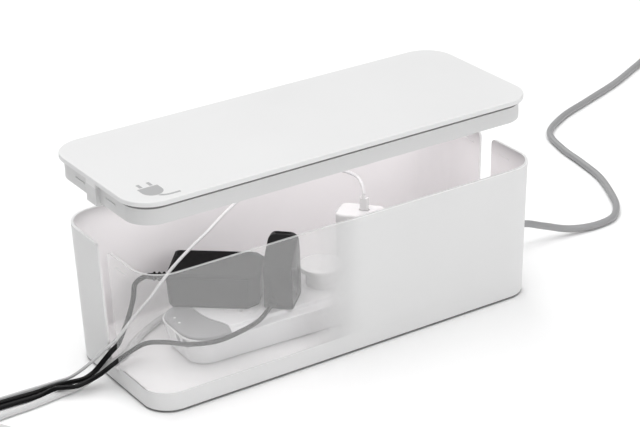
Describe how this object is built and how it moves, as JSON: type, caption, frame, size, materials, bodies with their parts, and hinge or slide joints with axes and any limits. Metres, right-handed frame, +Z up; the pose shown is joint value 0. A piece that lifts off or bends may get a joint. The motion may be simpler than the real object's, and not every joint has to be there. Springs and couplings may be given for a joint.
{
  "type": "cable management box",
  "caption": "Lidded white desk box with a cable slot in each end, its lid lifted, holding a power strip, plug-in adapters and their leads.",
  "frame": {"origin": "centre of the box's footprint on the surface that it stands on, at its middle foot", "axes": "+X along the box's length towards the end where the mains lead leaves, +Y to the back, +Z up"},
  "size_m": [1.2546, 0.4413, 0.199],
  "materials": {
    "tub_plastic": "fine moulded texture, satin",
    "lid_plastic": "fine moulded texture, satin",
    "foot_rubber": "matt",
    "strip_plastic": "polished",
    "socket_plastic": "satin",
    "panel_plastic": "satin",
    "contact_brass": "stamped sheet",
    "frame_plastic": "satin",
    "rocker_plastic": "polished",
    "screw_steel": "zinc plated",
    "black_plastic": "fine spark texture",
    "blade_steel": "nickel plated",
    "board_green": "lacquered board",
    "winding_tape": "yellow tape over copper",
    "charger_plastic": "polished",
    "grey_cord": "smooth sheath, satin",
    "black_cord": "smooth sheath, satin",
    "white_cord": "smooth sheath, satin"
  },
  "bodies": {
    "box": {"tub": "tub_plastic", "rubber_feet": "foot_rubber", "strip_base": "strip_plastic", "strip_cover": "strip_plastic", "strip_end_panel": "panel_plastic", "panel_lamps": "socket_plastic", "line_jacks": "black_plastic", "socket_inserts": "socket_plastic", "live_rail": "contact_brass", "neutral_rail": "contact_brass", "earth_rail": "contact_brass", "rocker_frame": "frame_plastic", "cord_clamp": "frame_plastic", "strip_screws": "screw_steel", "strip_pads": "foot_rubber", "mains_relief": "grey_cord", "brick_base": "black_plastic", "brick_cover": "black_plastic", "brick_blades": "blade_steel", "brick_board": "board_green", "brick_transformer": "winding_tape", "brick_relief": "black_cord", "upright_case": "black_plastic", "upright_base": "black_plastic", "upright_blades": "blade_steel", "upright_board": "board_green", "upright_relief": "black_cord", "charger_case": "charger_plastic", "charger_base": "charger_plastic", "charger_blades": "blade_steel", "charger_board": "board_green", "charge_plug": "charger_plastic", "white_plug": "charger_plastic", "white_plug_blades": "blade_steel", "white_relief": "white_cord", "mains_lead": "grey_cord", "mains_coil_turns": "grey_cord", "mains_plug": "grey_cord", "mains_plug_blades": "blade_steel", "white_lead": "white_cord", "white_coil_turns": "white_cord", "white_connector": "white_cord", "brick_lead": "black_cord", "brick_coil_turns": "black_cord", "brick_barrel_plug": "black_cord", "upright_lead": "black_cord", "upright_coil_turns": "black_cord", "upright_barrel_plug": "black_cord", "charge_cable": "white_cord", "charge_coil_turns": "white_cord", "charge_connector": "charger_plastic"},
    "lid": {"lid": "lid_plastic"},
    "rocker": {"rocker": "rocker_plastic"}
  },
  "joints": [
    {"name": "lid_lift", "type": "slide", "parent": "box", "child": "lid", "axis": [-0.0957, 0, 0.9954], "range_m": [-0.06269, 0.06]},
    {"name": "switch_rock", "type": "hinge", "parent": "box", "child": "rocker", "pos_m": [0.11337, -0.02263, 0.042], "axis": [0.9989, -0.0471, 0], "range_deg": [-16, 0]}
  ]
}
